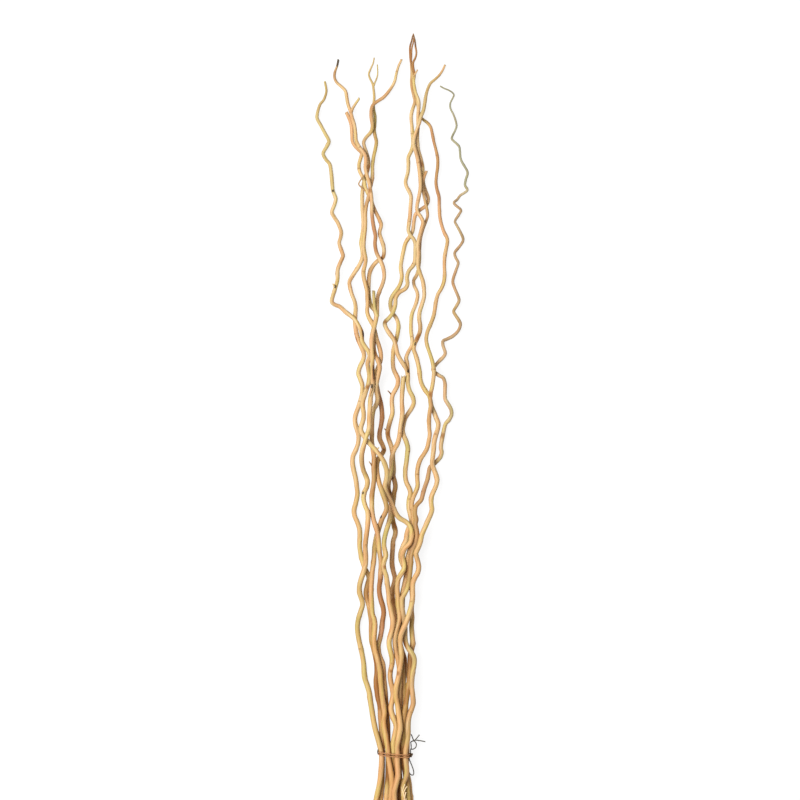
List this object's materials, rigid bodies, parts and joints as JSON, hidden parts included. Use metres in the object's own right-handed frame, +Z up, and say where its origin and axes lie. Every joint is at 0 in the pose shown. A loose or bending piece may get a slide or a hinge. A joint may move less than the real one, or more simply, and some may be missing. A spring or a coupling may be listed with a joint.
{
  "type": "tied bunch of curly willow stems",
  "caption": "Long peeled curly willow stems, tied near their cut ends with thin twine and laid flat; used as dry decoration in a tall vase.",
  "frame": {"origin": "on the surface that the bunch lies on, under the middle of its bounding box", "axes": "+Y along the bunch from the cut ends to the tips, +Z up from the surface, +X across the bunch to the right when it is seen from above with its tips up"},
  "size_m": [0.282, 1.4876, 0.0675],
  "materials": {
    "peeled_willow": "dry peeled willow, golden tan, satin to matt, with dark knots",
    "brown_willow": "dry peeled willow with a thin brown under-bark, matt",
    "grey_willow": "thin willow shoot, grey-green towards the top, matt",
    "twine": "thin twisted natural-fibre twine, grey-brown, rough"
  },
  "bodies": {
    "root": {"stem_01": "peeled_willow", "stem_02": "peeled_willow", "stem_03": "peeled_willow", "stem_04": "peeled_willow", "stem_05": "brown_willow", "stem_06": "peeled_willow", "stem_07": "peeled_willow", "stem_08": "peeled_willow", "stem_09": "brown_willow", "stem_10": "grey_willow", "stem_11": "peeled_willow", "twine_tie": "twine"}
  },
  "joints": []
}
